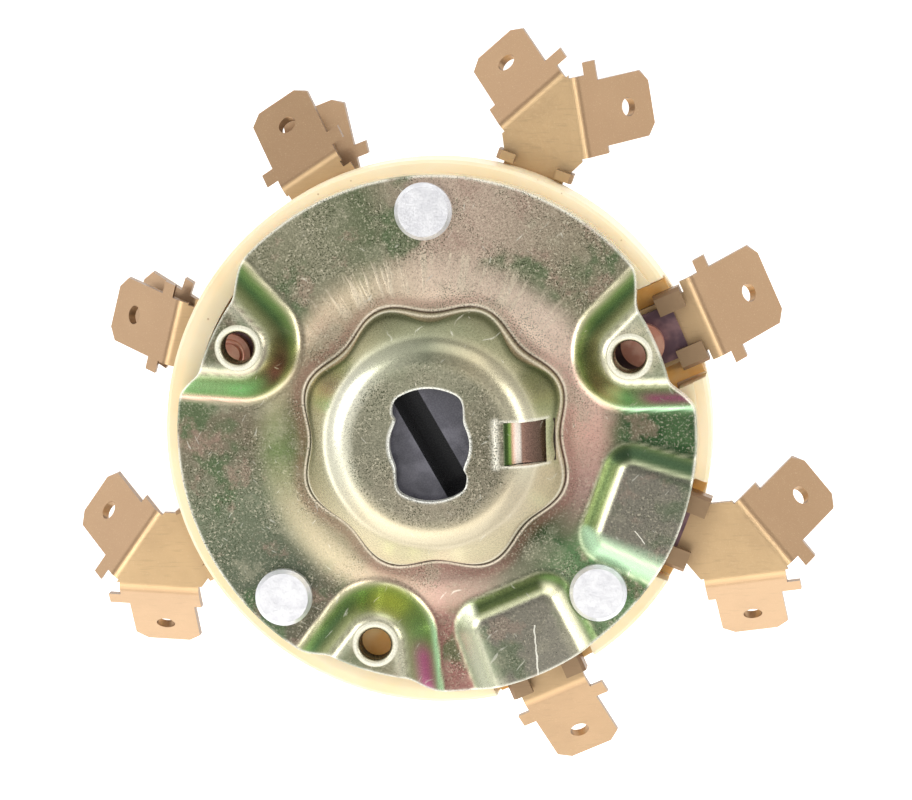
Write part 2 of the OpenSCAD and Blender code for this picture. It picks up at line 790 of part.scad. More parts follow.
module bridge_spring() {
    color("silver") translate([0, 0, contact_z + contact_t + running])
        coil(3.3, 0.28, spring_room - 2 * running, 4);
}

module detent_ball(side) {
    color([0.8, 0.8, 0.82]) rotate(ball_angle + side) translate([ball_in_r, 0, ball_z]) sphere(ball_r);
}

module detent_spring(side) {
    length = ball_in_r - ball_r - bore_end - 2 * running;
    color("silver") rotate(ball_angle + side) translate([bore_end + running, 0, ball_z])
        rotate([0, 90, 0]) coil(1.35, 0.22, length, 5);
}

base();
insulator_plate();
cover_plate();
cover_rivets();
terminal_1();
terminal_2();
terminal_3();
terminal_3_rear();
terminal_4();
terminal_4_rear();
terminal_5();
terminal_6();
terminal_7();
terminal_rivets();
upper_strip(22.5);  // contact_strip_1
lower_strip(open_terminals[0]);  // contact_strip_2
lower_strip(stacked_terminals[0]);  // contact_strip_3
lower_strip(stacked_terminals[1]);  // contact_strip_4
lower_strip(open_terminals[1]);  // contact_strip_5
upper_strip(292.5);  // contact_strip_6
upper_strip(337.5);  // contact_strip_7
contact_studs();
rotor();
contact_carrier();
contact_bridge();
bridge_spring();
detent_ball(0);  // detent_ball_a
detent_ball(180);  // detent_ball_b
detent_spring(0);  // detent_spring_a
detent_spring(180);  // detent_spring_b
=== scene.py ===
import math

import bpy
import numpy as np
from mathutils import Matrix, Vector


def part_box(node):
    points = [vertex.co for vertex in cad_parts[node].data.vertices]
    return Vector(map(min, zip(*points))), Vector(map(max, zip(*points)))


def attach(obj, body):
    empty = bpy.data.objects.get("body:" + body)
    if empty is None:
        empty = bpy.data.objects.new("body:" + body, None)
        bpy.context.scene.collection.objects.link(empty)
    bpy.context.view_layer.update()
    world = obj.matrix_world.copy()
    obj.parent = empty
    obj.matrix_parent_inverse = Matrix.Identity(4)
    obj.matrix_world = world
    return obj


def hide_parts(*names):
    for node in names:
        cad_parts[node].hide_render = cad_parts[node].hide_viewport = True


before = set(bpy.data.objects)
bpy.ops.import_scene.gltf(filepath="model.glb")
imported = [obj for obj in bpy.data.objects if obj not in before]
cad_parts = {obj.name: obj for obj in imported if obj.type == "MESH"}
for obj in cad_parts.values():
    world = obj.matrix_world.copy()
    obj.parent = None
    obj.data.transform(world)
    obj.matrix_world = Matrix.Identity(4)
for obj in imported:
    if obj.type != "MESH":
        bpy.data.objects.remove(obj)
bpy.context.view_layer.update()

MM = 0.001

# Sizes of the cover plate in millimetres, heights counted from its flat ring
PLATE_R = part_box("cover_plate")[1].x / MM
CUP_H = 6.0
RING_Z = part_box("cover_plate")[1].z / MM - CUP_H
SHEET_T = 1.0
DISH_OUT_R, DISH_IN_R, DISH_RISE = 17.4, 13.5, 0.5
LOBE_R, WAIST_R, LOBES, FIRST_LOBE = 12.9, 11.7, 8, math.radians(22.5)
CROWN_R, SHOULDER_R, CONE_LEAN = 7.7, 3.0, math.radians(35)
WALL_STEEPNESS, WALL_IN_R, WALL_OUT_R, WALL_MEAN_R = 6, 10.4, 14.0, 12.3
KEY_W, KEY_L, KEY_ROUND_R = 6.6, 10.9, 3.85
SCREW_R, SCREW_HOLE_R, SCREW_ANGLES = 20.1, 1.46, (22.5, 153.5, 253)
PAD_H, PAD_FOOT, PAD_TOP, PAD_SPREAD = 3.3, 5.4, 2.6, math.radians(22)
LOW_H, LOW_ANGLES, LOW_SPREAD = 1.2, (292.5, 339.2), math.radians(4)
LOW_CORNER, LOW_FOOT_W, LOW_TOP_W, LOW_IN_R = 3.0, 6.0, 3.9, 15.6
PAD_ROUNDING = 0.22
RIM_DRAW = 1.75
BRIDGE_IN, BRIDGE_OUT, BRIDGE_W = 6.9, 10.7, 4.05


# Small helpers

def smooth_min(a, b, k):
    h = np.clip(0.5 + 0.5 * (b - a) / k, 0, 1)
    return b * (1 - h) + a * h - k * h * (1 - h)


def smooth_max(a, b, k):
    return -smooth_min(-a, -b, k)


def ease(t):
    t = np.clip(t, 0, 1)
    return t * t * (3 - 2 * t)


def turned(x, y, degrees):
    """The point as seen from a frame turned by that angle about the axis."""
    c, s = math.cos(math.radians(degrees)), math.sin(math.radians(degrees))
    return x * c + y * s, y * c - x * s


def mesh_object(name, points_mm, faces, body):
    mesh = bpy.data.meshes.new(name)
    mesh.from_pydata((np.asarray(points_mm, float) * MM).tolist(), [], [tuple(map(int, f)) for f in faces])
    mesh.validate()
    mesh.shade_smooth()
    piece = bpy.data.objects.new(name, mesh)
    bpy.context.scene.collection.objects.link(piece)
    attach(piece, body)
    return piece


def ring_solid(name, profile, centre, body):
    """Solid of revolution about an upright line through centre, from a closed profile of (radius, height)."""
    steps, count = 64, len(profile)
    points, faces = [], []
    for i in range(steps):
        a = 2 * math.pi * i / steps
        for r, z in profile:
            points.append((centre[0] + r * math.cos(a), centre[1] + r * math.sin(a), z))
        for k in range(count):
            j, m = (i + 1) % steps, (k + 1) % count
            faces.append((i * count + k, j * count + k, j * count + m, i * count + m))
    return mesh_object(name, points, faces, body)


# Height of the pressed sheet

def dish_height(r):
    return DISH_RISE * ease((DISH_OUT_R - r) / (DISH_OUT_R - DISH_IN_R))


def lobe_radius(angle):
    return (LOBE_R + WAIST_R) / 2 + (LOBE_R - WAIST_R) / 2 * np.cos((angle - FIRST_LOBE) * LOBES)


def dome_height(r):
    edge_r = CROWN_R + SHOULDER_R * math.cos(CONE_LEAN)
    edge_z = CUP_H - SHOULDER_R + SHOULDER_R * math.sin(CONE_LEAN)
    bend = np.clip(r - CROWN_R, 0, SHOULDER_R * math.cos(CONE_LEAN))
    shoulder = CUP_H - SHOULDER_R + np.sqrt(SHOULDER_R ** 2 - bend ** 2)
    cone = edge_z - (r - edge_r) / math.tan(CONE_LEAN)
    return np.where(r < edge_r, shoulder, cone)


def cup_height(x, y):
    r, angle = np.hypot(x, y), np.arctan2(y, x)
    wall = DISH_RISE + (lobe_radius(angle) - r) * WALL_STEEPNESS
    return smooth_min(wall, dome_height(r), 0.7)


def pad_level(x, y, corner_x, corner_y, spread):
    """Distance from a pad's skeleton: round its corner circles, and out along its spreading sides."""
    over, back = np.abs(y) - corner_y, corner_x - x
    side = over * math.cos(spread) + back * math.sin(spread)
    corner = np.hypot(np.maximum(back, 0), np.maximum(over, 0))
    beyond = back * math.cos(spread) > over * math.sin(spread)
    return np.where((over > 0) & beyond, corner, np.maximum(side, back))


def ramp(level, foot_highlight, top, rounding):
    share = (foot_highlight - level) / (foot_highlight - top)
    return smooth_max(smooth_min(share, np.ones_like(share), rounding), np.zeros_like(share), rounding)


def screw_level(px, py):
    return pad_level(px, py, SCREW_R, 0, PAD_SPREAD)


def low_level(px, py):
    return pad_level(px, py, LOW_IN_R + LOW_CORNER, LOW_FOOT_W - LOW_CORNER, LOW_SPREAD)


def pad_heights(x, y):
    """Heights of the three screw pads and of the two low pads, before they are joined to the ring."""
    screw, low = np.zeros_like(x), np.zeros_like(x)
    for angle in SCREW_ANGLES:
        px, py = turned(x, y, angle)
        pad = ramp(screw_level(px, py), PAD_FOOT, PAD_TOP, PAD_ROUNDING)
        screw = np.maximum(screw, np.where(px > 0, pad, 0))
    for angle in LOW_ANGLES:
        px, py = turned(x, y, angle)
        pad = ramp(low_level(px, py), LOW_CORNER, LOW_CORNER - (LOW_FOOT_W - LOW_TOP_W), PAD_ROUNDING)
        low = np.maximum(low, np.where(px > 0, pad, 0))
    return screw * PAD_H, low * LOW_H


def sheet_height(x, y):
    screw, low = pad_heights(x, y)
    ring = dish_height(np.hypot(x, y)) + screw + low
    return smooth_max(ring, cup_height(x, y), 0.2)


def slope_of(x, y, step=0.04):
    dx = (sheet_height(x + step, y) - sheet_height(x - step, y)) / (2 * step)
    dy = (sheet_height(x, y + step) - sheet_height(x, y - step)) / (2 * step)
    return dx, dy


# Outline of the sheet

def key_radius(angles):
    """Distance from the axis to the edge of the keyhole, along each angle."""
    reach = np.arange(3.0, 5.6, 0.004)
    side_gap, end_gap, round_gap = 0.08, 0.15, 0.12
    pinch, flare, flare_from, flare_over = 0.17, 0.28, 2.3, 0.6
    r, a = np.meshgrid(reach, angles)
    x, y = r * np.cos(a), r * np.sin(a)
    pinched = KEY_W / 2 - pinch + flare * ease((np.abs(y) - flare_from) / flare_over)
    half = np.where(x * y < 0, pinched, KEY_W / 2 - side_gap)
    slot = smooth_max(np.abs(x) - half, r - KEY_L / 2 + end_gap, 0.7)
    inside = smooth_min(slot, r - KEY_ROUND_R + round_gap, 0.25) < 0
    return reach[np.argmax(~inside, axis=1)]


def key_edge():
    """Directions in order, with the keyhole's edge in each."""
    angles = np.linspace(-math.pi, math.pi, 721)
    return angles, key_radius(angles)


def rim_radius(angles):
    x, y = (PLATE_R - 0.6) * np.cos(angles), (PLATE_R - 0.6) * np.sin(angles)
    screw, _ = pad_heights(x, y)
    return PLATE_R - RIM_DRAW * (screw / PAD_H) ** 1.2


# Cover plate, as one closed mesh

def cover_radii(angles, fine):
    """Radii of the rings of the grid, one row per ring, closest together on the wall of the cup."""
    key, rim, wave = key_radius(angles), rim_radius(angles), lobe_radius(angles)
    edge, round_r, full = 0.07, 7.0, np.ones_like(angles)
    rows = [key, key + edge]
    rows += [(key + edge) * (1 - t) + round_r * t for t in np.linspace(0, 1, int(12 * fine))[1:]]
    rows += [r * full for r in np.linspace(round_r, WALL_IN_R, int(16 * fine))[1:]]
    for r in np.linspace(WALL_IN_R, WALL_OUT_R, int(64 * fine))[1:]:
        pull = ease((r - WALL_IN_R) / 1.6) * ease((WALL_OUT_R - r) / 1.4)
        rows.append(r + (wave - WALL_MEAN_R) * pull)
    rows += [WALL_OUT_R * (1 - t) + (rim - edge) * t for t in np.linspace(0, 1, int(58 * fine))[1:]]
    return np.array(rows + [rim])


def cover_mesh():
    count, deepest, key_fall, rim_fall = 480, 1.7, 0.05, 0.06
    angles = np.linspace(0, 2 * math.pi, count, endpoint=False)
    over, under = cover_radii(angles, 1.0), cover_radii(angles, 0.3)[::-1]
    radii = np.concatenate([over, under])
    x, y = radii * np.cos(angles), radii * np.sin(angles)
    z = sheet_height(x, y)
    dx, dy = slope_of(x, y)
    drop = np.minimum(SHEET_T * np.sqrt(1 + dx ** 2 + dy ** 2), deepest)
    rings = len(over)
    z[rings:] -= drop[rings:]
    z[0] -= key_fall
    z[rings - 1] -= rim_fall
    points = np.stack([x, y, z + RING_Z], -1).reshape(-1, 3)
    i, j = np.meshgrid(np.arange(len(radii)), np.arange(count), indexing="ij")
    ni, nj = (i + 1) % len(radii), (j + 1) % count
    faces = np.stack([i * count + j, ni * count + j, ni * count + nj, i * count + nj], -1).reshape(-1, 4)
    return points, faces


def cutter(name, points, faces):
    mesh = bpy.data.meshes.new(name)
    mesh.from_pydata((np.asarray(points, float) * MM).tolist(), [], faces)
    piece = bpy.data.objects.new(name, mesh)
    bpy.context.scene.collection.objects.link(piece)
    return piece


def box_cutter(low, high):
    points = [(x, y, z) for x in (low[0], high[0]) for y in (low[1], high[1]) for z in (low[2], high[2])]
    faces = [(0, 1, 3, 2), (4, 6, 7, 5), (0, 4, 5, 1), (2, 3, 7, 6), (0, 2, 6, 4), (1, 5, 7, 3)]
    return cutter("window_cutter", points, faces)


def screw_centre(angle):
    return SCREW_R * math.cos(math.radians(angle)), SCREW_R * math.sin(math.radians(angle))


def hole_cutter(angle):
    """Upright rod through a screw pad, wide enough for the collar."""
    steps, radius, low, length = 48, SCREW_HOLE_R + 0.3, RING_Z + PAD_H - 3, 6
    cx, cy = screw_centre(angle)
    turns = [2 * math.pi * i / steps for i in range(steps)]
    points = [(cx + radius * math.cos(a), cy + radius * math.sin(a), z)
              for z in (low, low + length) for a in turns]
    sides = [(i, (i + 1) % steps, steps + (i + 1) % steps, steps + i) for i in range(steps)]
    ends = [tuple(reversed(range(steps))), tuple(range(steps, 2 * steps))]
    return cutter("hole_cutter", points, sides + ends)


def subtract(piece, tool):
    cut = piece.modifiers.new("cut", "BOOLEAN")
    cut.object, cut.operation, cut.solver = tool, "DIFFERENCE", "EXACT"
    with bpy.context.temp_override(object=piece, active_object=piece):
        bpy.ops.object.modifier_apply(modifier=cut.name)
    bpy.data.objects.remove(tool)


def blend(base, colour, share):
    """Base where share is 0 and colour where it is 1. Colour is one colour, or one for each point."""
    share = np.clip(share, 0, 1)[:, None]
    return base * (1 - share) + np.array(colour) * share


def bands(value, *stops):
    """Colour by value, from stops of (value, colour)."""
    places = [p for p, _ in stops]
    return np.stack([np.interp(value, places, [c[k] for _, c in stops]) for k in range(3)], 1)


def bell(value, centre, width):
    return np.exp(-((value - centre) / width) ** 2)


def around(x, y, *stops):
    """Colour by direction from the axis, in degrees from 0 to 360."""
    return bands(np.degrees(np.arctan2(y, x)) % 360, *stops)


def ring_colours(x, y, r):
    """The flat ring, whose plating drifts from green to rose round the axis, and the paler dish."""
    outer = around(
        x, y, (0, (0.03, 0.09, 0.03)), (18, (0.12, 0.15, 0.08)), (30, (0.22, 0.22, 0.13)),
        (50, (0.33, 0.29, 0.20)), (75, (0.58, 0.45, 0.35)), (92, (0.60, 0.46, 0.36)),
        (106, (0.17, 0.20, 0.11)), (120, (0.31, 0.30, 0.20)), (150, (0.26, 0.25, 0.16)),
        (180, (0.24, 0.20, 0.14)), (198, (0.21, 0.24, 0.155)), (225, (0.11, 0.13, 0.09)),
        (262, (0.28, 0.17, 0.12)), (275, (0.35, 0.16, 0.14)), (300, (0.24, 0.28, 0.17)),
        (320, (0.14, 0.27, 0.115)), (345, (0.05, 0.11, 0.04)), (360, (0.03, 0.09, 0.03)))
    inner = around(
        x, y, (0, (0.80, 0.49, 0.40)), (45, (1.0, 0.79, 0.63)), (90, (1.0, 0.79, 0.61)),
        (115, (0.67, 0.56, 0.38)), (135, (0.45, 0.34, 0.24)), (165, (0.26, 0.23, 0.14)),
        (185, (0.16, 0.21, 0.085)), (205, (0.44, 0.39, 0.25)), (230, (0.56, 0.48, 0.32)),
        (270, (0.50, 0.33, 0.27)), (295, (0.17, 0.15, 0.11)), (318, (0.03, 0.07, 0.025)),
        (340, (0.40, 0.26, 0.22)), (360, (0.80, 0.49, 0.40)))
    return blend(outer, inner, ease((DISH_OUT_R + 0.8 - r) / 3.2))


def cup_colours_and_painted_light(x, y, r):
    """Grey speckled crown; painted light on the shoulder and cone: painted highlights on the shoulder,
    brightest to the left, a pale painted lit band on shoulder and cone below, and painted dark green shade on
    the cone above.
    """
    crown = around(x, y, (0, (0.22, 0.20, 0.14)), (90, (0.37, 0.36, 0.25)), (180, (0.29, 0.28, 0.20)),
                   (270, (0.40, 0.35, 0.26)), (360, (0.22, 0.20, 0.14)))
    # Painted highlights on the shoulder: brightest to the left, dimmest straight above.
    shoulder = around(x, y, (0, (0.72, 0.68, 0.50)), (60, (0.52, 0.46, 0.30)), (90, (0.30, 0.31, 0.21)),
                      (120, (0.62, 0.62, 0.45)), (148, (0.95, 0.93, 0.76)), (195, (0.95, 0.92, 0.72)),
                      (225, (0.74, 0.66, 0.46)), (290, (0.56, 0.49, 0.34)), (330, (0.54, 0.47, 0.33)),
                      (360, (0.72, 0.68, 0.50)))
    # Painted light and shade on the cone: palest below, dark green painted shade above.
    cone = around(x, y, (0, (0.60, 0.60, 0.34)), (40, (0.30, 0.28, 0.16)), (75, (0.24, 0.25, 0.15)),
                  (110, (0.30, 0.30, 0.18)), (140, (0.72, 0.66, 0.41)), (180, (0.80, 0.74, 0.50)),
                  (240, (0.90, 0.80, 0.55)), (280, (0.86, 0.76, 0.53)), (320, (0.62, 0.53, 0.36)),
                  (345, (0.62, 0.52, 0.34)), (360, (0.60, 0.60, 0.34)))
    cone_from, cone_over = 9.4, 1.4
    colour = blend(crown, shoulder, ease((r - CROWN_R + 0.9) / 1.3))
    return blend(colour, cone, ease((r - cone_from) / cone_over))


def screw_pad_colours(x, y, colour):
    """Green slopes with painted highlights at the foot and near the top, painted shade half way up and a pale
    painted lit side, a dark painted reflection on the inner slope, rose or magenta on the side of each pad
    that has it, and a painted highlight round the hole's mouth.
    """
    # Along the slope: painted highlights at the foot and near the top edge, painted shade half way up.
    slope_light_and_shade = ((0.0, (0.78, 0.72, 0.48)), (0.08, (0.50, 0.54, 0.26)), (0.20, (0.22, 0.36, 0.11)),
             (0.42, (0.075, 0.15, 0.05)), (0.60, (0.13, 0.16, 0.06)), (0.80, (0.30, 0.32, 0.15)),
             (0.93, (0.62, 0.62, 0.40)), (1.0, (0.24, 0.22, 0.15)))
    magenta, mouth_highlight = (0.52, 0.15, 0.29), (0.70, 0.68, 0.50)
    # Columns: which side and how rosy, the painted lit side's tint, the painted highlight at the foot, the
    # flat top, the dark painted reflection and where it lies.
    pads = (
        ((-1, 1.0), (0.30, 0.60, 0.24), (0.60, 0.95, 0.60), (0.72, 0.68, 0.48),
         (0.20, 0.17, 0.07), (17.0, -1.5)),
        ((1, 0.2), (0.34, 0.80, 0.30), (0.95, 0.62, 0.48), (0.24, 0.18, 0.13),
         (0.17, 0.075, 0.055), (16.3, 0.9)),
        ((1, 1.0), (0.22, 0.36, 0.12), (0.50, 0.85, 0.46), (0.30, 0.28, 0.18),
         (0.30, 0.38, 0.07), (16.2, 0.4)))
    for angle, ((rosy_side, rosy), lit_side_tint, foot_highlight, top, dark_reflection, dark_reflection_at) in zip(SCREW_ANGLES, pads):
        px, py = turned(x, y, angle)
        level = screw_level(px, py)
        share = np.clip((PAD_FOOT - level) / (PAD_FOOT - PAD_TOP), 0, 1)
        # A dark painted reflection on the inner slope of each pad.
        near_dark_reflection = bell(np.hypot(px - dark_reflection_at[0], py - dark_reflection_at[1]), 0, 3.0)
        film_and_painted_light = blend(bands(share, *slope_light_and_shade), dark_reflection, near_dark_reflection * bell(share, 0.45, 0.40))
        side = ease((py * rosy_side - 0.6) / 1.6) * ease((px - SCREW_R + 4.5) / 3)
        film_and_painted_light = blend(film_and_painted_light, lit_side_tint, 0.9 * side * bell(share, 0.42, 0.36))
        outward = rosy * ease((px - SCREW_R + 2.0) / 2.5)
        film_and_painted_light = blend(film_and_painted_light, magenta, side * bell(share, 0.42, 0.28) * outward)
        film_and_painted_light = blend(film_and_painted_light, foot_highlight, side * bell(share, 0.02, 0.10))
        flat = ease((share - 0.96) / 0.04)
        film_and_painted_light = blend(film_and_painted_light, top, flat)
        # A painted highlight round the mouth of the hole.
        film_and_painted_light = blend(film_and_painted_light, mouth_highlight, flat * bell(level, SCREW_HOLE_R + 0.6, 0.5))
        colour = blend(colour, film_and_painted_light, (px > 0) * ease((PAD_FOOT + 0.25 - level) / 0.3))
    return colour


def low_pad_colours(x, y, colour):
    """Green slopes with painted highlights at the foot and near the top and painted shade half way up, a pale
    painted lit side, and a cream painted highlight or painted shade on the other side.
    """
    # Along the slope: painted highlights at the foot and near the top edge, painted shade half way up.
    slope_light_and_shade = ((0.0, (0.66, 0.66, 0.42)), (0.10, (0.16, 0.20, 0.07)), (0.40, (0.06, 0.09, 0.03)),
             (0.65, (0.15, 0.19, 0.07)), (0.86, (0.90, 0.92, 0.58)), (1.0, (0.24, 0.225, 0.18)))
    # Far sides: a cream painted highlight over green, or painted shade.
    cream_highlight_over_green = (((0.95, 0.90, 0.62), 0.95, 0.72, 0.26), ((0.12, 0.20, 0.06), 0.9, 0.16, 0.20))
    dark = (((0.04, 0.075, 0.035), 0.95, 0.5, 0.5),)
    # Each low pad: the tint of its pale painted lit side, and the painted light on its far side.
    pads = (((0.80, 0.82, 0.60), cream_highlight_over_green), ((0.52, 0.78, 0.50), dark))
    for angle, (pale, far_side_light_and_shade) in zip(LOW_ANGLES, pads):
        px, py = turned(x, y, angle)
        level = low_level(px, py)
        share = np.clip((LOW_CORNER - level) / (LOW_FOOT_W - LOW_TOP_W), 0, 1)
        near, far = ease((-py - 2.8) / 0.9), ease((py - 3.0) / 1.2)
        film_and_painted_light = blend(bands(share, *slope_light_and_shade), pale, 0.95 * near * bell(share, 0.55, 0.55))
        for tone, strength, centre, width in far_side_light_and_shade:
            film_and_painted_light = blend(film_and_painted_light, tone, strength * far * bell(share, centre, width))
        colour = blend(colour, film_and_painted_light, (px > 0) * ease((LOW_CORNER + 0.2 - level) / 0.3))
    return colour


def vertex_places(piece):
    co = np.empty(len(piece.data.vertices) * 3)
    piece.data.vertices.foreach_get("co", co)
    return (co.reshape(-1, 3) / MM).T


def store_film_and_light(piece, colour, speckled, painted_light_share):
    """Keeps the plating's colour with its painted light, how far the painted light is made diffuse, and how
    speckled it is on each vertex for its material.
    """
    layer = piece.data.attributes.new("film_and_painted_light", "FLOAT_COLOR", "POINT")
    layer.data.foreach_set("color", np.c_[colour, np.clip(painted_light_share, 0, 1)].astype(np.float32).ravel())
    layer = piece.data.attributes.new("speckled", "FLOAT", "POINT")
    layer.data.foreach_set("value", np.asarray(speckled, np.float32))


def wall_highlights_and_shade(colour, painted_light_share, off, angle):
    """Two painted highlight lines with a painted crease shade between, along the foot of the cup's wall, and
    a painted shade outside them and a dark green painted shade inside them on the upper side.
    """
    colour = blend(colour, (0.34, 0.15, 0.12), 0.45 * bell(off, 0.75, 0.60))
    for place, width, shade in ((0.24, 0.095, (1.0, 0.88, 0.70)), (-0.20, 0.085, (1.0, 0.97, 0.78))):
        share = bell(off, place, width)
        colour = blend(colour, shade, share)
        painted_light_share = painted_light_share * (1 - share) + share
    crease_shade = 0.9 * bell(off, 0.03, 0.085)
    colour = blend(colour, (0.05, 0.03, 0.02), crease_shade)
    shaded_above = ease(np.sin(angle) + 0.6)
    return blend(colour, (0.07, 0.08, 0.03), 0.75 * bell(off, -0.62, 0.30) * shaded_above), painted_light_share * (1 - crease_shade)


def edge_highlights(colour, painted_light_share, x, y, r, angle):
    """Painted highlights along the sheet's edges: round the window of the bridge, the keyhole and the rim."""
    window_end = 11.2
    lip = bell(x, BRIDGE_IN - 0.75, 0.30) * ease((BRIDGE_W / 2 + 0.6 - np.abs(y)) / 0.5)
    sides = bell(np.abs(y), BRIDGE_W / 2 + 0.1, 0.12)
    sides = sides * ease((x - BRIDGE_IN + 0.5) / 0.4) * ease((window_end - x) / 0.4)
    window_highlight = np.maximum(lip, 0.8 * sides)
    key = bell(r - np.interp(angle, *key_edge()), 0.03, 0.12)
    rim = bell(rim_radius(angle) - r, 0.05, 0.12)
    colour = blend(colour, (1.0, 0.96, 0.82), window_highlight)
    colour = blend(colour, (0.95, 0.95, 0.88), key)
    return blend(colour, (0.95, 0.92, 0.78), 0.9 * rim), np.maximum(painted_light_share, window_highlight) + key + 0.8 * rim


def paint_form(piece):
    """Colours the sheet's plating by place, with painted highlights and painted shade on the cup, the pads
    and the edges, and sets how diffuse the painted light is and where the plating is speckled.
    """
    x, y, _ = vertex_places(piece)
    r, angle = np.hypot(x, y), np.arctan2(y, x)
    in_cup = ease((cup_height(x, y) - dish_height(r) + 0.15) / 0.4)
    colour = blend(ring_colours(x, y, r), cup_colours_and_painted_light(x, y, r), in_cup)
    colour = low_pad_colours(x, y, screw_pad_colours(x, y, colour))
    # Painted light: the lower side of the cup's shoulder and cone is made diffuse, so that its pale painted
    # colour reads as a broad lit band.
    lit_below, lit_band_from = ease(0.35 - np.sin(angle - 0.45)), 8.1
    painted_light_share = in_cup * lit_below * ease((r - lit_band_from) / 1.0) * 0.85
    colour, painted_light_share = wall_highlights_and_shade(colour, painted_light_share, r - lobe_radius(angle), angle)
    colour, painted_light_share = edge_highlights(colour, painted_light_share, x, y, r, angle)

    screw, low = pad_heights(x, y)
    raised, cone_end = np.maximum(screw / PAD_H, low / LOW_H), 11.5
    level = 1 - ease(np.hypot(*slope_of(x, y)) / 0.35)
    level *= np.where((r > CROWN_R) & (r < cone_end), 0.25, 1)
    # Painted light: the pale lit side of the second low pad is made diffuse as well.
    px, py = turned(x, y, LOW_ANGLES[1])
    pale = ease((-py - 2.8) / 0.9) * bell(low / LOW_H, 0.55, 0.55) * (px > LOW_IN_R)
    painted_light_share = np.maximum(painted_light_share, 0.6 * pale * (low > 0.02))
    store_film_and_light(piece, colour, level * (1 - 0.35 * raised), painted_light_share)


def make_cover():
    points, faces = cover_mesh()
    piece = mesh_object("pressed_cover", points, faces, "housing")
    window_low = (BRIDGE_IN, -BRIDGE_W / 2, RING_Z + 1.1)
    window_high = (BRIDGE_OUT, BRIDGE_W / 2, RING_Z + 8)
    subtract(piece, box_cutter(window_low, window_high))
    for angle in SCREW_ANGLES:
        subtract(piece, hole_cutter(angle))
    piece.data.shade_smooth()
    piece.data.set_sharp_from_angle(angle=math.radians(40))
    paint_form(piece)
    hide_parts("cover_plate")
    return piece


def make_bridge():
    """The lanced strip: a rounded lip, a crease, and a ramp that runs out under the cone."""
    path = np.array([
        (6.35, 6.0), (6.75, 5.98), (7.05, 5.9), (7.3, 5.7), (7.5, 5.42), (7.7, 5.1), (8.0, 4.72),
        (8.15, 4.56), (8.3, 4.42), (8.4, 4.34), (8.5, 4.28), (8.6, 4.23), (8.95, 4.12), (9.4, 3.9),
        (10.0, 3.58), (10.6, 3.24), (11.2, 2.92), (11.5, 2.74)
    ])
    side_gap, across = 0.06, 9
    half = BRIDGE_W / 2 - side_gap
    tangent = np.gradient(path, axis=0)
    normal = np.stack([-tangent[:, 1], tangent[:, 0]], 1) / np.hypot(tangent[:, 0], tangent[:, 1])[:, None]
    under = path - normal * SHEET_T * 0.9
    loop = np.concatenate([path, under[::-1]])
    count, points, faces = len(loop), [], []
    for k in range(across):
        y = -half + 2 * half * k / (across - 1)
        points += [(px, y, pz + RING_Z) for px, pz in loop]
    for k in range(across - 1):
        for i in range(count):
            j = (i + 1) % count
            faces.append((k * count + i, k * count + j, (k + 1) * count + j, (k + 1) * count + i))
    faces.append(tuple(reversed(range(count))))
    faces.append(tuple(range((across - 1) * count, across * count)))
    piece = mesh_object("lanced_bridge", points, faces, "housing")
    piece.data.set_sharp_from_angle(angle=math.radians(50))
    x, _, _ = vertex_places(piece)
    # Painted light along the strip: painted shade below the lip, a painted highlight on the crease, a brown
    # painted reflection after it, and painted shade darkening where it runs under the cone.
    film_and_painted_light = bands(
        x, (6.4, (0.34, 0.36, 0.24)), (6.75, (0.42, 0.46, 0.28)), (7.05, (0.04, 0.07, 0.02)),
        (7.3, (0.08, 0.14, 0.03)), (7.5, (0.22, 0.34, 0.08)), (7.7, (0.80, 0.50, 0.36)),
        (8.0, (1.0, 0.88, 0.78)), (8.3, (1.0, 0.92, 0.82)), (8.5, (0.34, 0.20, 0.15)),
        (8.95, (0.22, 0.13, 0.10)), (10.2, (0.13, 0.085, 0.06)), (11.2, (0.06, 0.04, 0.03)))
    store_film_and_light(piece, film_and_painted_light, 0 * x, 0.9 * bell(x, 8.15, 0.28))
    return piece


def make_collar(number, angle):
    """Drawn collar round a screw hole: a rounded mouth, a threaded bore and a short skirt."""
    top = RING_Z + PAD_H
    low, threads, depth, threaded = top - 2.2, 4, 0.12, 1.75
    bore, steps = [], threads * 8
    for k in range(steps + 1):
        t = k / steps
        wave = 0.5 - 0.5 * math.cos(2 * math.pi * threads * t)
        bore.append((SCREW_HOLE_R + depth * wave, low + threaded * t))
    mouth = [(SCREW_HOLE_R + 0.40 * (1 - math.cos(a)), top - 0.33 + 0.4 * math.sin(a))
             for a in np.linspace(0.2, math.pi / 2, 8)]
    lip = [(SCREW_HOLE_R + 0.55, top + 0.07), (SCREW_HOLE_R + 0.75, top - 0.02),
           (SCREW_HOLE_R + 0.78, top - 0.5)]
    skirt = [(SCREW_HOLE_R + 0.8, top - 0.9), (SCREW_HOLE_R + 0.7, low)]
    centre = screw_centre(angle)
    piece = ring_solid(f"screw_collar_{number}", bore + mouth + lip + skirt, centre, "housing")
    x, y, _ = vertex_places(piece)
    away = np.hypot(x - centre[0], y - centre[1])
    # Painted shade in the bore, and a painted highlight on the rounded mouth.
    film_and_painted_light = bands(away, (SCREW_HOLE_R + 0.08, (0.20, 0.17, 0.10)), (SCREW_HOLE_R + 0.22, (0.62, 0.58, 0.42)),
                 (SCREW_HOLE_R + 0.4, (0.86, 0.84, 0.70)), (SCREW_HOLE_R + 0.7, (0.66, 0.63, 0.48)))
    store_film_and_light(piece, film_and_painted_light, 0 * away, 0.9 * ease((away - SCREW_HOLE_R - 0.12) / 0.2))
    return piece


# Materials

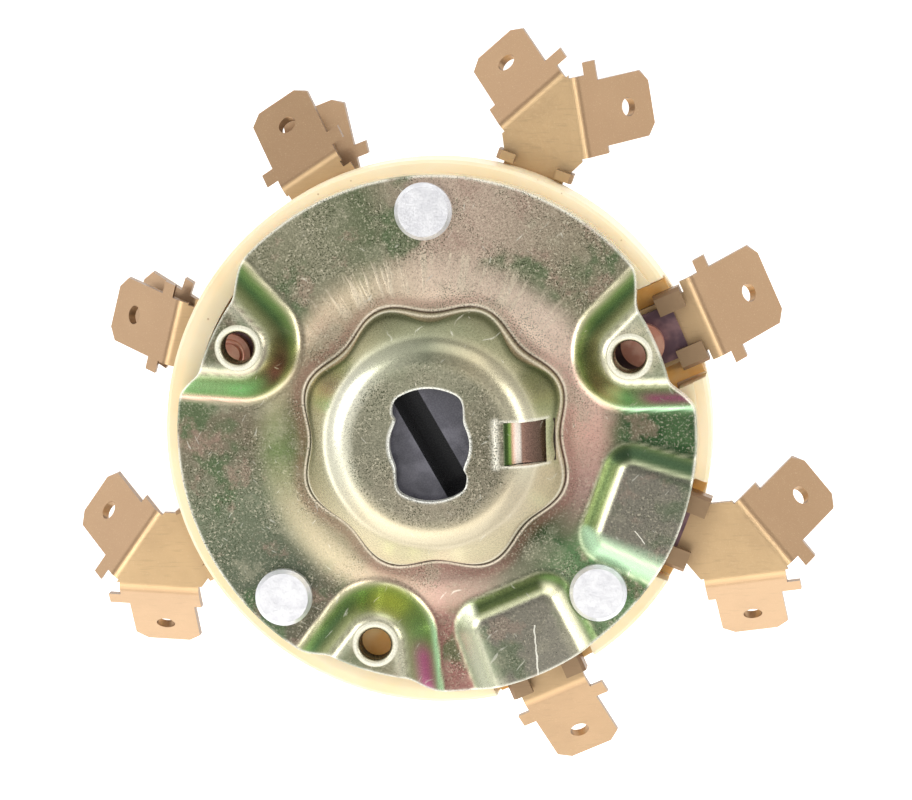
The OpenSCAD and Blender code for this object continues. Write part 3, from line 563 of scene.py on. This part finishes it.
class Finish:
    """A node material: a Principled shader, and short calls that add nodes to it."""

    def __init__(self, name):
        self.material = bpy.data.materials.new(name)
        self.material.use_nodes = True
        self.tree = self.material.node_tree
        self.tree.nodes.clear()
        output = self.tree.nodes.new("ShaderNodeOutputMaterial")
        self.shader = self.tree.nodes.new("ShaderNodeBsdfPrincipled")
        self.tree.links.new(self.shader.outputs["BSDF"], output.inputs["Surface"])
        place = self.tree.nodes.new("ShaderNodeTexCoord").outputs["Object"]
        self.mm = self.vector("SCALE", place, scale=1 / MM)

    def put(self, socket, value):
        if isinstance(value, bpy.types.NodeSocket):
            self.tree.links.new(value, socket)
        elif isinstance(value, (tuple, list)) and len(value) == 3 and socket.type == "RGBA":
            socket.default_value = (*value, 1)
        else:
            socket.default_value = value

    def set(self, **values):
        for name, value in values.items():
            self.put(self.shader.inputs[name.replace("_", " ")], value)

    def vector(self, operation, a, b=None, scale=None):
        node = self.tree.nodes.new("ShaderNodeVectorMath")
        node.operation = operation
        self.put(node.inputs[0], a)
        if b is not None:
            self.put(node.inputs[1], b)
        if scale is not None:
            self.put(node.inputs["Scale"], scale)
        return node.outputs["Value"] if operation in ("DOT_PRODUCT", "LENGTH") else node.outputs["Vector"]

    def math(self, operation, a, b=0.0, clamp=False):
        node = self.tree.nodes.new("ShaderNodeMath")
        node.operation, node.use_clamp = operation, clamp
        self.put(node.inputs[0], a)
        self.put(node.inputs[1], b)
        return node.outputs[0]

    def times(self, a, b):
        return self.math("MULTIPLY", a, b)

    def between(self, value, low, high, to_low=0.0, to_high=1.0):
        """Goes smoothly from to_low to to_high while value goes from low to high."""
        node = self.tree.nodes.new("ShaderNodeMapRange")
        node.interpolation_type = "SMOOTHSTEP"
        for socket, item in zip(node.inputs, (value, low, high, to_low, to_high)):
            self.put(socket, item)
        return node.outputs[0]

    def noise(self, scale, detail=3.0, roughness=0.55, place=None):
        node = self.tree.nodes.new("ShaderNodeTexNoise")
        self.put(node.inputs["Vector"], self.mm if place is None else place)
        for name, value in (("Scale", scale), ("Detail", detail), ("Roughness", roughness)):
            node.inputs[name].default_value = value
        return node.outputs["Fac"]

    def cells(self, scale):
        """Distance to the nearest of points that are strewn at random."""
        node = self.tree.nodes.new("ShaderNodeTexVoronoi")
        self.put(node.inputs["Vector"], self.mm)
        node.inputs["Scale"].default_value = scale
        return node.outputs["Distance"]

    def colours(self, value, *stops):
        node = self.tree.nodes.new("ShaderNodeValToRGB")
        band = node.color_ramp
        while len(band.elements) < len(stops):
            band.elements.new(0.5)
        for element, (place, colour) in zip(band.elements, stops):
            element.position, element.color = place, (*colour, 1)
        self.put(node.inputs[0], value)
        return node.outputs[0]

    def mix(self, share, a, b):
        node = self.tree.nodes.new("ShaderNodeMix")
        node.data_type = "RGBA"
        self.put(node.inputs[0], share)
        self.put(node.inputs[6], a)
        self.put(node.inputs[7], b)
        return node.outputs[2]

    def bump(self, height, strength, distance_mm, base=None):
        node = self.tree.nodes.new("ShaderNodeBump")
        node.inputs["Strength"].default_value = strength
        node.inputs["Distance"].default_value = distance_mm * MM
        self.put(node.inputs["Height"], height)
        if base is not None:
            self.put(node.inputs["Normal"], base)
        return node.outputs[0]

    def stored(self, name):
        node = self.tree.nodes.new("ShaderNodeAttribute")
        node.attribute_name = name
        return node.outputs["Fac"]

    def apart(self, vector):
        """The three numbers of a vector."""
        node = self.tree.nodes.new("ShaderNodeSeparateXYZ")
        self.put(node.inputs[0], vector)
        return node.outputs

    def facing(self):
        """The surface's normal, as three numbers."""
        return self.apart(self.tree.nodes.new("ShaderNodeTexCoord").outputs["Normal"])

    def height(self):
        """Height in millimetres."""
        return self.apart(self.mm)[2]

    def polar(self):
        """Angle in radians and distance in millimetres from the key axis."""
        x, y, _ = self.apart(self.mm)
        square = self.math("ADD", self.times(x, x), self.times(y, y))
        return self.math("ARCTAN2", y, x), self.math("SQRT", square)

    def joined(self, x, y, z=0.0):
        node = self.tree.nodes.new("ShaderNodeCombineXYZ")
        for socket, value in zip(node.inputs, (x, y, z)):
            self.put(socket, value)
        return node.outputs[0]

    def scratch(self, start, end, width):
        """One where the surface lies within width of the line from start to end, seen along the key axis."""
        start, end = Vector((*start, 0)), Vector((*end, 0))
        flat = self.vector("MULTIPLY", self.mm, (1, 1, 0))
        wobble, mean_wobble = 0.5, Vector((0.25, 0.25, 0))
        strayed = self.vector("SCALE", self.joined(self.noise(0.8), self.noise(1.1)), scale=wobble)
        arm = self.vector("SUBTRACT", self.vector("ADD", flat, strayed), tuple(start + mean_wobble))
        line = end - start
        along = self.vector("DOT_PRODUCT", arm, tuple(line))
        share = self.math("DIVIDE", along, line.length_squared, clamp=True)
        reached = self.vector("SCALE", tuple(line), scale=share)
        miss = self.vector("LENGTH", self.vector("SUBTRACT", arm, reached))
        return self.between(miss, width, width * 0.4)

    def fine_scratches(self, angle, scale, limit):
        """Sparse thin lines in one direction."""
        c, s = math.cos(angle), math.sin(angle)
        along = self.vector("DOT_PRODUCT", self.mm, (c, s, 0))
        across = self.vector("DOT_PRODUCT", self.mm, (-s, c, 0))
        warp = self.noise(0.25, 1)
        warped = self.math("ADD", across, self.times(warp, 3.0))
        place = self.joined(self.times(along, 0.18), warped, 0.3 * angle)
        return self.between(self.noise(scale, 2, 0.5, place), limit, limit + 0.05)


def plated_steel():
    """Yellow chromate over zinc: the plating colour and painted light stored on the vertices, speckle, draw
    marks in the dish, and scratches.
    """
    f = Finish("plated_steel_finish")
    film_and_painted_light = f.tree.nodes.new("ShaderNodeAttribute")
    film_and_painted_light.attribute_name = "film_and_painted_light"
    speckled = f.stored("speckled")
    angle, radius = f.polar()
    clouds, drift = f.noise(0.16, 3.0, 0.6), f.noise(0.30, 4.0, 0.65, f.vector("ADD", f.mm, (40, 15, 0)))
    grain, speckle = f.noise(4.5, 4.0, 0.75), f.noise(7.5, 3.0, 0.7, f.vector("ADD", f.mm, (9, 90, 0)))
    colour = film_and_painted_light.outputs["Color"]
    flat = f.times(speckled, f.between(radius, DISH_IN_R + 1, DISH_OUT_R + 1, 0.15, 1.0))
    green = f.times(f.between(clouds, 0.52, 0.62), f.times(flat, 0.7))
    colour = f.mix(green, colour, (0.09, 0.17, 0.07))
    rose = f.times(f.between(drift, 0.54, 0.66), f.times(flat, 0.45))
    colour = f.mix(rose, colour, (0.46, 0.30, 0.24))
    pale = f.times(f.between(drift, 0.46, 0.34), f.times(speckled, 0.35))
    colour = f.mix(pale, colour, (0.50, 0.47, 0.34))

    marks_in_r, marks_full_r = 13.2, 14.4
    dish = f.times(f.between(radius, DISH_OUT_R + 0.5, DISH_OUT_R - 0.6),
                   f.between(radius, marks_in_r, marks_full_r))
    rays = f.noise(1.0, 3.0, 0.7, f.joined(f.times(angle, 22.0), f.times(radius, 0.10)))
    upper = f.between(f.math("ABSOLUTE", f.math("SUBTRACT", angle, math.radians(88))), 1.1, 0.35)
    drawn = f.times(f.between(rays, 0.50, 0.60), f.times(dish, upper))
    colour = f.mix(f.times(drawn, 0.6), colour, (0.95, 0.82, 0.62))

    thick = f.times(speckled, f.between(f.noise(0.24, 4.0, 0.65), 0.42, 0.60, 0.45, 1.0))
    light = f.times(f.between(grain, 0.54, 0.62), f.times(thick, 0.75))
    colour = f.mix(light, colour, (0.72, 0.66, 0.50))
    dark = f.times(f.between(speckle, 0.52, 0.59), f.times(thick, 0.9))
    colour = f.mix(dark, colour, (0.05, 0.06, 0.03))

    long_scratch = f.math("MAXIMUM", f.scratch((8.95, -18.0), (9.25, -22.8), 0.10),
                          f.scratch((18.6, -9.0), (19.4, -10.2), 0.07))
    nicks = f.math("MAXIMUM", f.fine_scratches(0.9, 2.6, 0.70), f.fine_scratches(2.3, 3.1, 0.71))
    colour = f.mix(f.math("MAXIMUM", long_scratch, f.times(nicks, 0.4)), colour, (0.9, 0.88, 0.76))

    # Where light is painted, the metal's share is lowered so that the painted colour shows as diffuse light.
    painted_light_share = f.times(film_and_painted_light.outputs["Alpha"], 0.75)
    f.set(Base_Color=colour, Metallic=f.math("SUBTRACT", 0.85, painted_light_share))
    rough = f.between(grain, 0.3, 0.7, 0.30, 0.46)
    f.set(Roughness=f.math("SUBTRACT", rough, f.times(f.math("SUBTRACT", 1.0, speckled), 0.10)))
    skin = f.bump(f.times(grain, f.math("ADD", speckled, 0.25)), 0.22, 0.03)
    f.set(Normal=f.bump(f.math("SUBTRACT", drawn, f.times(long_scratch, 3.0)), 0.12, 0.05, skin))
    return f.material


def brass(name, level, tilted_shaded, south_lit):
    """Brass sheet whose colour follows the way it faces as painted light and shade, with painted shade
    inward, on the claws high up and on its edges.
    """
    f = Finish(name)
    stain, grain = f.noise(0.16, 3.0), f.noise(7.0, 3.0, 0.65)
    rolled = f.noise(1.0, 2.0, 0.5, f.vector("MULTIPLY", f.mm, (0.6, 5.0, 2.0)))
    _, side, up = f.facing()
    # Painted light by facing: level faces brightest, tilted faces painted darker, faces toward the south
    # light painted lit.
    colour = f.mix(f.between(up, 0.96, 0.84), level, tilted_shaded)
    colour = f.mix(f.between(side, -0.15, -0.45), colour, south_lit)
    colour = f.mix(f.between(stain, 0.40, 0.70, 0.0, 0.35), colour, (0.46, 0.30, 0.17))
    colour = f.mix(f.times(f.between(grain, 0.55, 0.7), 0.22), colour, (0.85, 0.68, 0.45))
    colour = f.mix(f.times(f.between(rolled, 0.55, 0.72), 0.22), colour, (0.42, 0.28, 0.16))
    _, radius = f.polar()
    base_r, clear_r, claw_low, claw_high = 26.0, 28.5, 15.15, 15.5
    # Painted shade inward, near the base.
    colour = f.mix(f.between(radius, clear_r, base_r, 0.0, 0.25), colour, (0.30, 0.19, 0.11))
    # Painted shade on the claws, high up.
    colour = f.mix(f.between(f.height(), claw_low, claw_high, 0.0, 0.7), colour, (0.26, 0.165, 0.10))
    # Painted shade on the edges that face sideways.
    colour = f.mix(f.between(up, 0.42, 0.20, 0.0, 0.8), colour, (0.20, 0.125, 0.07))
    f.set(Base_Color=colour, Metallic=0.72, Roughness=f.between(grain, 0.3, 0.7, 0.30, 0.46))
    f.set(Normal=f.bump(rolled, 0.12, 0.03, f.bump(grain, 0.15, 0.02)))
    return f.material


def moulding():
    f = Finish("moulding_finish")
    clouds, grain = f.noise(0.12, 3.0), f.noise(4.0, 3.0, 0.6)
    spots = f.cells(0.55)
    colour = f.colours(
        clouds, (0.35, (0.91, 0.75, 0.48)), (0.55, (0.94, 0.80, 0.56)), (0.7, (0.95, 0.77, 0.48)))
    colour = f.mix(f.times(f.between(spots, 0.075, 0.03), 0.7), colour, (0.45, 0.26, 0.10))
    f.set(Base_Color=colour, Roughness=f.between(grain, 0.3, 0.7, 0.34, 0.48), Subsurface_Weight=0.25)
    f.set(Subsurface_Radius=(1.0, 0.7, 0.4), Subsurface_Scale=0.0012, Coat_Weight=0.15, Coat_Roughness=0.3)
    f.set(Normal=f.bump(grain, 0.12, 0.03, f.bump(clouds, 0.1, 0.3)))
    return f.material


def phenolic():
    f = Finish("phenolic_finish")
    grain, clouds = f.noise(3.0, 4.0, 0.65), f.noise(0.3, 2.0)
    colour = f.mix(grain, (0.95, 0.44, 0.08), (1.0, 0.56, 0.16))
    colour = f.mix(f.between(clouds, 0.4, 0.65), colour, (1.0, 0.66, 0.28))
    f.set(Base_Color=colour, Roughness=0.38, Coat_Weight=0.2, Normal=f.bump(grain, 0.12, 0.03))
    return f.material


def aluminium():
    f = Finish("aluminium_finish")
    dents, grain = f.noise(0.9, 3.0, 0.6), f.noise(6.0, 2.0)
    colour = f.mix(f.between(dents, 0.35, 0.7), (0.80, 0.80, 0.83), (0.93, 0.93, 0.95))
    f.set(Base_Color=colour, Metallic=0.75, Roughness=f.between(grain, 0.3, 0.7, 0.32, 0.5))
    f.set(Normal=f.bump(dents, 0.35, 0.12, f.bump(grain, 0.15, 0.02)))
    return f.material


def copper():
    f = Finish("copper_finish")
    stain, grain = f.noise(0.8, 3.0), f.noise(8.0, 3.0)
    colour = f.mix(f.between(stain, 0.35, 0.65), (0.66, 0.30, 0.22), (0.80, 0.45, 0.34))
    f.set(Base_Color=colour, Metallic=0.7, Roughness=f.between(grain, 0.3, 0.7, 0.3, 0.5))
    f.set(Normal=f.bump(grain, 0.15, 0.02))
    return f.material


def dark_strip():
    f = Finish("strip_finish")
    stain, grain = f.noise(0.5, 3.0), f.noise(6.0, 3.0)
    colour = f.mix(f.between(stain, 0.35, 0.65), (0.12, 0.07, 0.09), (0.26, 0.15, 0.16))
    f.set(Base_Color=colour, Metallic=0.6, Roughness=0.42, Normal=f.bump(grain, 0.15, 0.02))
    return f.material


def rotor_black():
    f = Finish("rotor_finish")
    grain, clouds = f.noise(6.0, 3.0), f.noise(0.5, 2.0)
    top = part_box("rotor")[1].z / MM
    land = f.mix(f.between(clouds, 0.4, 0.6), (0.09, 0.088, 0.105), (0.14, 0.136, 0.16))
    # Painted shade: the slot below the top face is painted near black.
    colour = f.mix(f.between(f.height(), top - 0.5, top - 0.1), (0.02, 0.02, 0.024), land)
    f.set(Base_Color=colour, Roughness=f.between(grain, 0.3, 0.7, 0.2, 0.34), Coat_Weight=0.5)
    f.set(Coat_Roughness=0.12, Normal=f.bump(grain, 0.08, 0.02))
    return f.material


def carrier_brown():
    f = Finish("carrier_finish")
    grain = f.noise(3.0, 4.0, 0.65)
    f.set(Base_Color=f.mix(grain, (0.13, 0.05, 0.02), (0.26, 0.12, 0.05)), Roughness=0.45)
    f.set(Normal=f.bump(grain, 0.12, 0.03))
    return f.material


def bare_steel(name, roughness):
    f = Finish(name)
    grain = f.noise(9.0, 2.0)
    f.set(Base_Color=f.mix(grain, (0.55, 0.55, 0.57), (0.75, 0.75, 0.77)), Metallic=0.95, Roughness=roughness)
    f.set(Normal=f.bump(grain, 0.08, 0.01))
    return f.material


def dress(names, material, edge_mm=0.0, angle=35):
    """Gives CAD nodes a material, and rounds their sharp edges a little."""
    for name in names:
        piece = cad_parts[name]
        piece.data.materials.clear()
        piece.data.materials.append(material)
        if edge_mm:
            rounded = piece.modifiers.new("rounded_edges", "BEVEL")
            rounded.width, rounded.segments = edge_mm * MM, 2
            rounded.limit_method, rounded.angle_limit = "ANGLE", math.radians(angle)
            rounded.harden_normals = True


def dress_all():
    plating = plated_steel()
    for piece in [make_cover(), make_bridge()] + [make_collar(i + 1, a) for i, a in enumerate(SCREW_ANGLES)]:
        piece.data.materials.append(plating)
    sheet = brass("terminal_finish", (0.72, 0.50, 0.27), (0.41, 0.26, 0.145), (0.59, 0.39, 0.22))
    strips = [f"contact_strip_{i}" for i in range(1, 8)]
    dress([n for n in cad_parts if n.startswith("terminal_") and n != "terminal_rivets"], sheet, 0.08)
    dress(["base"], moulding(), 0.15)
    dress(["insulator_plate"], phenolic(), 0.05)
    dress(["cover_rivets"], aluminium(), 0.18, 25)
    dress(["terminal_rivets", "contact_studs", "contact_bridge"], copper(), 0.08)
    dress(strips, dark_strip(), 0.05)
    dress(["rotor"], rotor_black(), 0.12)
    dress(["contact_carrier"], carrier_brown(), 0.15)
    dress(["bridge_spring", "detent_spring_a", "detent_spring_b"], bare_steel("spring_finish", 0.35))
    dress(["detent_ball_a", "detent_ball_b"], bare_steel("ball_finish", 0.1))
    for name in ("detent_ball_a", "detent_ball_b"):
        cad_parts[name].data.shade_smooth()


# Stage, light and camera

def make_floor():
    f = Finish("floor_finish")
    f.set(Base_Color=(0.8, 0.8, 0.8), Roughness=0.9, Emission_Color=(1.0, 1.0, 1.0), Emission_Strength=0.75)
    size, gap = 3.0, 0.0002
    mesh = bpy.data.meshes.new("floor")
    corners = [(-size, -size, 0), (size, -size, 0), (size, size, 0), (-size, size, 0)]
    mesh.from_pydata(corners, [], [(0, 1, 2, 3)])
    mesh.materials.append(f.material)
    floor = bpy.data.objects.new("floor", mesh)
    floor.location.z = -gap
    bpy.context.scene.collection.objects.link(floor)


def area_light(name, azimuth, elevation, distance, size, power, colour=(1, 1, 1)):
    """Square soft light that looks at the object from that direction."""
    a, e = math.radians(azimuth), math.radians(elevation)
    place = Vector((math.cos(e) * math.cos(a), math.cos(e) * math.sin(a), math.sin(e))) * distance
    data = bpy.data.lights.new(name, "AREA")
    data.shape, data.size, data.energy, data.color = "SQUARE", size, power, colour
    light = bpy.data.objects.new(name, data)
    light.location = place
    light.rotation_euler = (-place).to_track_quat("-Z", "Y").to_euler()
    bpy.context.scene.collection.objects.link(light)


def make_world():
    """Pale room, dim straight overhead, so that level metal reads darker than what leans to the sides."""
    world = bpy.data.worlds.new("room")
    world.use_nodes = True
    tree = world.node_tree
    direction = tree.nodes.new("ShaderNodeTexCoord").outputs["Generated"]
    split = tree.nodes.new("ShaderNodeSeparateXYZ")
    band = tree.nodes.new("ShaderNodeValToRGB")
    tree.links.new(direction, split.inputs[0])
    tree.links.new(split.outputs[2], band.inputs[0])
    stops = ((0.0, 0.75), (0.45, 0.85), (0.70, 0.9), (0.88, 0.62), (1.0, 0.50))
    while len(band.color_ramp.elements) < len(stops):
        band.color_ramp.elements.new(0.5)
    for element, (place, value) in zip(band.color_ramp.elements, stops):
        element.position, element.color = place, (value, value, value, 1)
    background = tree.nodes["Background"]
    tree.links.new(band.outputs[0], background.inputs["Color"])
    background.inputs["Strength"].default_value = 0.72
    bpy.context.scene.world = world


def make_camera():
    """Looks down the key axis from the upper right, with the slight turn that the photograph has."""
    distance, sensor_mm = 0.42, 36
    tilt, toward, roll = math.radians(10), math.radians(56), math.radians(1.5)
    px_per_mm, width_px = 10.68, 912
    centre_px, middle_px = Vector((435.5, 436.5)), Vector((456, 400))
    image_up = Vector((math.sin(roll), math.cos(roll), 0))
    image_right = Vector((math.cos(roll), -math.sin(roll), 0))
    target = Vector((0, 0, RING_Z * MM))
    target += image_right * (middle_px.x - centre_px.x) / px_per_mm * MM
    target += image_up * (centre_px.y - middle_px.y) / px_per_mm * MM
    aside = image_right * math.cos(toward) + image_up * math.sin(toward)
    back = (aside * math.sin(tilt) + Vector((0, 0, 1)) * math.cos(tilt)).normalized()
    right = image_up.cross(back).normalized()
    up = back.cross(right)
    data = bpy.data.cameras.new("camera")
    data.sensor_fit, data.sensor_width = "HORIZONTAL", sensor_mm
    data.lens = sensor_mm * distance / (width_px / px_per_mm * MM)
    data.clip_start, data.clip_end = 0.01, 20
    camera = bpy.data.objects.new("camera", data)
    axes = Matrix((right, up, back)).transposed().to_4x4()
    camera.matrix_world = Matrix.Translation(target + back * distance) @ axes
    bpy.context.scene.collection.objects.link(camera)
    bpy.context.scene.camera = camera


def make_stage():
    make_floor()
    make_world()
    area_light("south_box", 262, 42, 0.8, 0.90, 4.2, (1.0, 0.98, 0.95))
    area_light("west_box", 165, 50, 0.8, 0.35, 1.6)
    area_light("east_box", 15, 50, 0.8, 0.30, 1.1)
    area_light("north_box", 75, 40, 0.8, 0.5, 0.9)
    make_camera()
    bpy.context.scene.view_settings.view_transform = "Standard"


make_stage()
dress_all()
